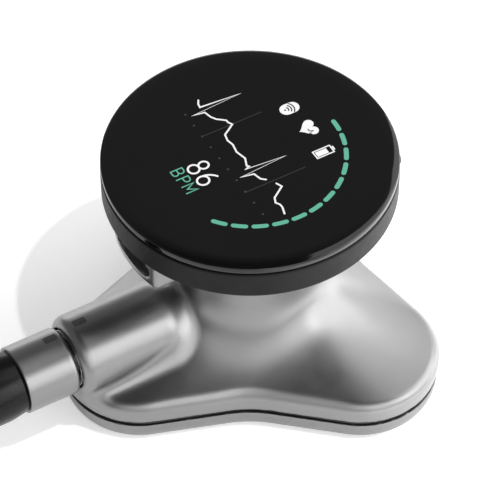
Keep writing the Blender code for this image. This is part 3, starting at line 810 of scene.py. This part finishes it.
def screw_shape(x, y, z):
    """A small pan head with a six-lobed recess, and a threaded shank."""
    radius, angle = np.hypot(x, y), np.arctan2(y, x)
    head = common(radius - 1.6, between(z, 0.6, 1.6), 0.2)
    head = without(head, np.maximum(radius - 0.75 - 0.14 * np.cos(6 * angle), z - 1.15))
    thread = 0.08 * np.cos(angle - TURN * z / 0.6)
    return joined(head, np.maximum(radius - 0.76 - thread, between(z, 1.2, 7.7)), 0.1)


def make_button():
    """The power button in its pod."""
    def distance(x, y, z):
        return common(slot_distance(y, z - POD_MIDDLE, *BUTTON_SIZE), between(x, 17.0, 23.9), 0.55)

    button = polygonise("power_key", distance, (16.4, -5.2, 27.9), (24.6, 5.2, 32.3), 0.2)
    dress(button, "black", "power_button", "button")


def make_display():
    """The black housing ring and its cover glass."""
    housing = turned("display_ring", (
        (7.0, 33.6, 0.1), (21.5, 33.6, 0.35), (22.05, 34.1, 0.35), (22.05, 38.5, 0.35), (21.2, 38.5, 0.12),
        (21.2, 37.4, 0.1), (18.3, 37.4, 0.1), (18.3, 35.3, 0.1), (7.0, 35.3, 0.1)),
        count=240, loop=True)
    dress(housing, "black", "display_housing")
    across, drop = GLASS_EDGE
    edge = []
    for angle in angles_round(48)[:13]:
        edge.append((GLASS_RADIUS - across + across * math.sin(angle),
                     GLASS_SURFACE - drop + drop * math.cos(angle), 0))
    glass = turned("cover_glass", (
        (0, GLASS_SURFACE, 0), (18.6, GLASS_SURFACE, 0), *edge, (GLASS_RADIUS, GLASS_BOTTOM, 0.25),
        (20.3, GLASS_BOTTOM, 0), (0, GLASS_BOTTOM, 0)), count=240)
    dress(glass, "glass", "display_glass")


def make_stem():
    """The ferrule, the plug behind it and its seal, on the hose's own axis."""
    ferrule = turned("silver_ferrule", (
        (3.2, 31.9, 0.1), (FERRULE_RADIUS, 31.9, 0.8), (FERRULE_RADIUS, 40.3, 0.2), (3.2, 40.3, 0.1)),
        count=128, loop=True, steps=7)
    dress(along_stem(ferrule), "silver", "hose_ferrule", "tubing")
    plug = turned("stem_plug", (
        (1.6, 16.6, 0.2), (4.5, 16.6, 0.4), (4.5, 19.6, 0.1), (3.4, 19.6, 0.1), (3.4, 21.4, 0.1),
        (4.5, 21.4, 0.1), (4.5, 31.5, 0.1), (2.9, 31.5, 0.1), (2.9, 40.0, 0.1), (1.6, 40.0, 0.1)),
        count=72, loop=True)
    dress(along_stem(plug), "steel", "hose_plug", "tubing")
    section = [polar(0.42, angle) for angle in angles_round(12)]
    seal = turned("plug_seal", [(4.1 + u, 20.5 + v, 0) for u, v in section], count=72, loop=True)
    dress(along_stem(seal), "silicone", "plug_o_ring", "tubing")
    return ferrule, plug, seal


def make_marks():
    """The two small marks that show how the ferrule lines up with the barrel."""
    for name, place, radius, body in MARKS:
        rings = []
        for k in range(MARK_STEPS + 1):
            across = MARK_HALF_WIDTH * (2 * k / MARK_STEPS - 1)
            inward = max(0.0, abs(across) - MARK_HALF_WIDTH + MARK_CORNER)
            reach = MARK_HALF_LENGTH - MARK_CORNER + math.sqrt(MARK_CORNER ** 2 - 0.98 * inward ** 2)
            y = MARK_OFFSET + across
            low = STEM_HEIGHT + math.sqrt((radius - MARK_DEPTH) ** 2 - y ** 2)
            high = STEM_HEIGHT + math.sqrt((radius + MARK_LIFT) ** 2 - y ** 2)
            rings.append([(place - reach, y, low), (place + reach, y, low),
                          (place + reach, y, high), (place - reach, y, high)])
        dress(skin(name, rings), "ink", body=body)


# ---- What the display shows

def on_glass(shape, u, v, height):
    """A point of the picture on the glass: u is its reading direction and v is its up."""
    return shape.verts.new(((v + DIAL_SHIFT[1]) * MM, -(u + DIAL_SHIFT[0]) * MM, height * MM))


def thicken(shape, faces):
    """Gives flat faces of the picture their thickness, downward."""
    made = bmesh.ops.extrude_face_region(shape, geom=faces)["geom"]
    lower = [v for v in made if isinstance(v, bmesh.types.BMVert)]
    bmesh.ops.translate(shape, verts=lower, vec=(0, 0, -PLATE_THICKNESS * MM))


def add_plate(shape, outline, top):
    """A thin flat solid with that outline."""
    thicken(shape, [shape.faces.new([on_glass(shape, u, v, top) for u, v in outline])])


def add_stroke(shape, points, width, top, closed):
    """A thin flat solid that follows a line at an even width, with round ends."""
    points = [Vector(p) for p in points]
    count = len(points)
    left, right = [], []
    for i, point in enumerate(points):
        ways = []
        if i or closed:
            ways.append((point - points[i - 1]).normalized())
        if i < count - 1 or closed:
            ways.append((points[(i + 1) % count] - point).normalized())
        along = sum(ways, Vector((0, 0))).normalized()
        across = Vector((-along.y, along.x))
        square = Vector((-ways[0].y, ways[0].x))
        reach = width / 2 / max(0.45, across.dot(square))
        left.append(on_glass(shape, *(point + across * reach), top))
        right.append(on_glass(shape, *(point - across * reach), top))
    faces = []
    for i in range(count if closed else count - 1):
        j = (i + 1) % count
        faces.append(shape.faces.new((left[i], right[i], right[j], left[j])))
    if not closed:
        for end, inner, first, last in ((0, 1, left[0], right[0]), (-1, -2, right[-1], left[-1])):
            out = (points[end] - points[inner]).normalized()
            side = Vector((-out.y, out.x))
            cap = []
            for k in range(1, 6):
                angle = TURN / 2 * k / 6 - TURN / 4
                place = points[end] + (out * math.cos(angle) + side * math.sin(angle)) * width / 2
                cap.append(on_glass(shape, *place, top))
            faces.append(shape.faces.new([last, first, *cap]))
    thicken(shape, faces)


def picture_piece(name, finish, plates=(), lines=(), loops=(), width=0.0, top=GLASS_TOP):
    """One lit piece of the display's picture: flat outlines, and lines and loops of one width."""
    shape = bmesh.new()
    for outline in plates:
        add_plate(shape, outline, top)
    for points in loops:
        add_stroke(shape, points, width, top, closed=True)
    for points in lines:
        add_stroke(shape, points, width, top, closed=False)
    bmesh.ops.recalc_face_normals(shape, faces=shape.faces[:])
    mesh = bpy.data.meshes.new(name)
    shape.to_mesh(mesh)
    shape.free()
    dress(placed(name, mesh), finish)


def oval(centre, across, up, count=28, start=0.0, sweep=TURN):
    """Points round an oval, or part of one."""
    whole = abs(sweep - TURN) < 1e-9
    steps = count if whole else count - 1
    return [(centre[0] + across * math.cos(start + sweep * k / steps),
             centre[1] + up * math.sin(start + sweep * k / steps)) for k in range(count)]


def make_picture():
    """Pulse trace, rate, dial and signs."""
    trace = ((-14.0, -0.8), (-13.3, -1.2), (-12.6, -1.3), (-12.1, 5.2), (-11.65, -3.0), (-11.35, -1.2),
             (-10.1, -0.9), (-9.3, -0.4), (-8.35, 0.75), (-7.8, 0.8), (-7.2, 1.15), (-6.5, 0.1),
             (-5.9, -0.85), (-4.7, -1.1), (-3.6, -0.85), (-2.0, -1.1), (-0.3, -0.65), (1.1, -1.2),
             (1.4, -0.95), (1.65, -1.65), (2.22, 4.6), (2.68, -3.0), (3.05, -1.1), (4.35, -0.75),
             (4.9, -0.12))
    after = ((6.3, 0.8), (7.2, 1.18), (8.6, -0.85), (9.5, -1.22), (10.1, -0.85), (10.55, -0.8),
             (10.9, -0.85), (12.0, -1.18))
    picture_piece("pulse_trace", "lit_white", lines=[trace, after], width=0.27)
    dashes = []
    for k in range(12):
        angle = math.radians(85.5 - 12.2 * k)
        half = 0.9 / DIAL_RADIUS
        dashes.append(oval(DIAL_MIDDLE, DIAL_RADIUS, DIAL_RADIUS, 7, angle - half, 2 * half))
    picture_piece("dial_dashes", "lit_teal", lines=dashes, width=0.72)
    dots = [oval((-12.35 + 2.54 * k, -3.92), 0.17, 0.17, 10) for k in range(10)]
    rules = [((u, -4.1), (u, 6.1)) for u in (-7.24, 5.6)]
    picture_piece("grid_marks", "lit_dim", plates=dots, lines=rules, width=0.09)
    rounds = [oval((-2.15, -6.6), 0.72, 0.78), oval((-2.15, -8.25), 0.86, 0.86),
              oval((0.5, -8.15), 0.86, 0.92)]
    six_tail = ((-0.33, -7.95), (-0.25, -7.3), (0.02, -6.7), (0.42, -6.2), (0.78, -5.9))
    picture_piece("rate_digits", "lit_white", lines=[six_tail], loops=rounds, width=0.3)
    low, tall, waist = -11.5, 1.9, 0.94
    letters = []
    for u in (-3.3, -1.45):
        letters.append(((u, low), (u, low + tall)))
        bowl = oval((u + 0.55, low + 1.42), 0.48, 0.48, 9, TURN / 4, -TURN / 2)[1:-1]
        letters.append(((u, low + tall), (u + 0.55, low + tall), *bowl, (u + 0.55, low + waist),
                        (u, low + waist)))
        if u == -3.3:
            bowl = oval((u + 0.6, low + 0.47), 0.5, 0.47, 9, -TURN / 4, TURN / 2)[1:-1]
            letters.append(((u, low), (u + 0.6, low), *bowl, (u + 0.6, low + waist)))
    letters.append(((0.15, low), (0.15, low + tall), (0.85, low + 0.55), (1.55, low + tall), (1.55, low)))
    picture_piece("rate_unit", "lit_teal", lines=letters, width=0.2)
    upper = oval((-5.78, 10.6), 1.075, 1.075, 9, 0.0, TURN / 2)
    lower = oval((-5.78, 9.6), 1.075, 1.075, 9, TURN / 2, TURN / 2)
    picture_piece("link_pill", "lit_white", plates=[upper + lower])
    waves = [oval((-5.78, 9.45), r, r, 9, TURN * 0.125, TURN * 0.25) for r in (0.45, 0.9, 1.35)]
    picture_piece("link_waves", "lit_off", plates=[oval((-5.78, 9.35), 0.16, 0.16, 10)], lines=waves,
                  width=0.2, top=GLASS_TOP + ICON_LAYER)
    heart = []
    for t in angles_round(48):
        across = 16 * math.sin(t) ** 3
        rise = 13 * math.cos(t) - 5 * math.cos(2 * t) - 2 * math.cos(3 * t) - math.cos(4 * t)
        heart.append((-0.9 + 0.097 * across, 10.55 + 0.097 * rise))
    picture_piece("heart_sign", "lit_white", plates=[heart])
    beat = ((-0.75, 10.3), (-0.3, 10.3), (-0.1, 10.85), (0.15, 9.85), (0.3, 10.3), (0.75, 10.3))
    picture_piece("heart_beat", "lit_off", lines=[beat], width=0.16, top=GLASS_TOP + ICON_LAYER)
    case = ((3.62, 8.5), (5.06, 8.5), (5.06, 11.35), (3.62, 11.35))
    charge = ((3.85, 8.73), (4.83, 8.73), (4.83, 10.6), (3.85, 10.6))
    cap = ((3.95, 11.5), (4.73, 11.5), (4.73, 11.75), (3.95, 11.75))
    picture_piece("battery_sign", "lit_white", plates=[charge, cap], loops=[case], width=0.2)


# ---- The headset

def headset_line(route, side, step):
    """A leg's or ear tube's points, mirrored about the headset's middle line."""
    return smooth_points([(x, HEADSET_LINE + side * y, z) for x, y, z in route], step)


def point_distance(x, y, z, place):
    """Distance to a point."""
    return np.sqrt((x - place[0]) ** 2 + (y - place[1]) ** 2 + (z - place[2]) ** 2)


def capsule_distance(x, y, z, start, end, first, last):
    """Distance to a round bar whose radius changes from one end to the other."""
    axis = np.array(end) - np.array(start)
    share = (x - start[0]) * axis[0] + (y - start[1]) * axis[1] + (z - start[2]) * axis[2]
    share = np.clip(share / (axis @ axis), 0, 1)
    nearest = [start[i] + share * axis[i] for i in range(3)]
    return point_distance(x, y, z, nearest) - (first + (last - first) * share)


def yoke_distance(x, y, z):
    """The moulded Y, smooth between its trunk and branches, with a mouth at each end."""
    line, height = HEADSET_LINE, HEADSET_HEIGHT
    trunk = capsule_distance(x, y, z, (-50, line, height), (-26, line, height), 5.35, 5.95)
    shape = np.maximum(trunk, YOKE_END - x)
    pivots = [np.array((PIVOT_X, line + side * PIVOT_OFFSET, height)) for side in (1, -1)]
    for side, ahead in zip((1, -1), pivots):
        root = np.array((-27.0, line + side * 1.2, height))
        way = (ahead - root) / np.linalg.norm(ahead - root)
        branch = capsule_distance(x, y, z, root, ahead + 6 * way, BRANCH_RADIUS, BRANCH_RADIUS)
        end = (x - ahead[0]) * way[0] + (y - ahead[1]) * way[1] + (z - ahead[2]) * way[2]
        shape = joined(shape, common(branch, end, 0.9), 2.2)
    shape = common(shape, np.abs(z - height) - YOKE_HALF_HEIGHT, 1.0)
    for ahead in pivots:
        shape = without(shape, point_distance(x, y, z, ahead) - PIVOT_SEAT_RADIUS, 0.3)
    pocket = np.maximum(np.abs(y - line) - 1.9, np.abs(z - height) - 2.8)
    return without(shape, np.maximum(between(x, -23.5, -9.0), pocket), 0.4)


def make_headset():
    """The yoke, and on each side a leg, a collar, an ear tube and its tip."""
    yoke = polygonise("moulded_yoke", yoke_distance, (-43.0, HEADSET_LINE - 17.0, -0.5),
                      (-2.0, HEADSET_LINE + 17.0, 13.0), 0.45)
    dress(yoke, "rubber", "yoke", "tubing")
    for side, label in ((1, "left"), (-1, "right")):
        make_arm(side, label)


def make_arm(side, label):
    """One side of the headset."""
    leg = headset_line(LEG_ROUTE, side, 2.5)
    start = (leg[1] - leg[0]).normalized()
    dome, radii = [], []
    for degrees in (82, 68, 54, 40, 26, 13):
        angle = math.radians(degrees)
        dome.append(leg[0] - start * LEG_RADIUS * math.sin(angle))
        radii.append(LEG_RADIUS * math.cos(angle))
    piece = swept(f"{label}_leg_tube", dome + leg, radii + [LEG_RADIUS] * len(leg), count=36)
    dress(piece, "rubber", f"{label}_leg", f"{label}_arm")
    tube = headset_line(EAR_TUBE_ROUTE, side, 2.0)
    piece = swept(f"{label}_steel_tube", tube, [EAR_TUBE_RADIUS] * len(tube), count=36)
    dress(piece, "steel", f"{label}_ear_tube", f"{label}_ear_piece")
    collar = turned(f"{label}_grip_collar", (
        (3.1, 0.0, 0.15), (4.3, 0.0, 0.3), (4.6, 0.6, 0.3), (4.6, 1.7, 0.12), (4.35, 1.9, 0.1),
        (4.35, 2.3, 0.1), (4.6, 2.5, 0.12), (4.6, 3.5, 0.12), (4.35, 3.7, 0.1), (4.35, 4.1, 0.1),
        (4.6, 4.3, 0.12), (4.6, 5.2, 0.5), (3.9, 6.4, 0.3), (3.1, 6.4, 0.15)), count=72, loop=True, steps=3)
    aimed(collar, tube[0], tube[1] - tube[0])
    dress(collar, "black", f"{label}_collar", f"{label}_arm")
    way = tube[-1] - tube[-2]
    insert = turned(f"{label}_tip_stud", (
        (0, 0.3, 0), (3.0, 0.3, 0.3), (3.4, 0.7, 0.15), (3.4, 2.0, 0.2), (2.2, 2.0, 0.1), (2.2, 8.0, 0.4),
        (0, 8.0, 0)), count=48)
    dress(aimed(insert, tube[-1], way), "black", f"{label}_ear_insert", f"{label}_ear_piece")
    tip = turned(f"{label}_soft_tip", (
        (2.5, 2.4, 0.15), (4.4, 2.4, 0.5), (5.6, 4.4, 1.2), (6.2, 7.4, 3.0), (5.9, 10.8, 3.5),
        (4.6, 14.2, 3.5), (3.2, 16.7, 0.9), (1.4, 17.0, 0.3), (1.4, 8.6, 0.1), (2.5, 8.4, 0.1)),
        count=96, loop=True, steps=6)
    dress(aimed(tip, tube[-1], way), "silicone", f"{label}_ear_tip", f"{label}_ear_piece")


# ---- CAD nodes that stay

def finish_cad_nodes():
    """Node-based finishes for the CAD pieces whose shape is right as it is."""
    stay = {
        "brass": [f"electrode_contact_{index + 1}" for index in range(LOBES)],
        "steel": ("microphone", "speaker_capsule", "usb_socket", "yoke_spring"),
        "silicone": ("microphone_boot", "display_seal"),
        "black": ("battery_cradle", "button_switch"),
        "board": ("main_board",),
        "sleeve": ("battery",),
        "film": ("display_ribbon",),
        "glass": ("display_panel",)}
    for finish, nodes in stay.items():
        for node in nodes:
            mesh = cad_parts[node].data
            mesh.materials.clear()
            mesh.materials.append(finishes[finish])


# ---- Floor and light

def make_floor():
    """A plain white table, lit from within, more so out to the right and front of the head."""
    white = Finish("white_table", {
        "Roughness": 0.7, "Specular IOR Level": 0.0, "Emission Color": (1.0, 1.0, 1.0, 1.0)})
    white.tint(white.noise(60.0), 0.80, 0.82)
    rotated = white.nodes.new("ShaderNodeVectorRotate")
    rotated.rotation_type = "Z_AXIS"
    rotated.inputs["Angle"].default_value = math.radians(FLOOR_GLOW_BEARING)
    white.links.new(white.place, rotated.inputs["Vector"])
    split = white.nodes.new("ShaderNodeSeparateXYZ")
    white.links.new(rotated.outputs["Vector"], split.inputs["Vector"])
    white.vary("Emission Strength", split.outputs["X"], *FLOOR_GLOW)
    mesh = bpy.data.meshes.new("table")
    mesh.from_pydata(FLOOR_CORNERS, [], [(0, 1, 2, 3)])
    mesh.materials.append(white.material)
    table = placed("table", mesh)
    table.location.z = -FLOOR_DROP


def soft_light(name, bearing, elevation, distance, width, height, radiance, mirrored):
    """An area light aimed at the head. Its bearing is clockwise from straight away from the camera."""
    turn = math.radians(bearing + CAMERA_BEARING)
    rise = math.radians(elevation)
    towards = Vector((math.sin(turn) * math.cos(rise), math.cos(turn) * math.cos(rise), math.sin(rise)))
    light = bpy.data.lights.new(name, "AREA")
    light.shape = "RECTANGLE"
    light.size = width
    light.size_y = height
    light.energy = radiance * width * height * math.pi
    held = placed(name, light)
    held.location = Vector((0, 0, LIGHT_AIM_HEIGHT)) + towards * distance
    held.rotation_mode = "QUATERNION"
    held.rotation_quaternion = towards.to_track_quat("Z", "Y")
    held.visible_camera = False
    held.visible_glossy = mirrored


def make_lights():
    """Soft boxes round the head, a small key light, and a dim room that is darker overhead."""
    for light in LIGHTS:
        soft_light(*light)
    world = bpy.data.worlds.new("room")
    world.use_nodes = True
    nodes, links = world.node_tree.nodes, world.node_tree.links
    place = nodes.new("ShaderNodeTexCoord")
    split = nodes.new("ShaderNodeSeparateXYZ")
    links.new(place.outputs["Generated"], split.inputs["Vector"])
    fade = nodes.new("ShaderNodeMapRange")
    for socket, value in ROOM_FADE:
        fade.inputs[socket].default_value = value
    links.new(split.outputs["Z"], fade.inputs["Value"])
    links.new(fade.outputs["Result"], nodes["Background"].inputs["Color"])
    bpy.context.scene.world = world
    bpy.context.scene.view_settings.view_transform = "Standard"


make_camera()
hose, hose_points, hose_length = make_hose()
ferrule, plug, seal = make_stem()
make_marks()
make_shell()
make_base()
make_button()
make_display()
make_picture()
make_headset()
finish_cad_nodes()
make_floor()
make_lights()
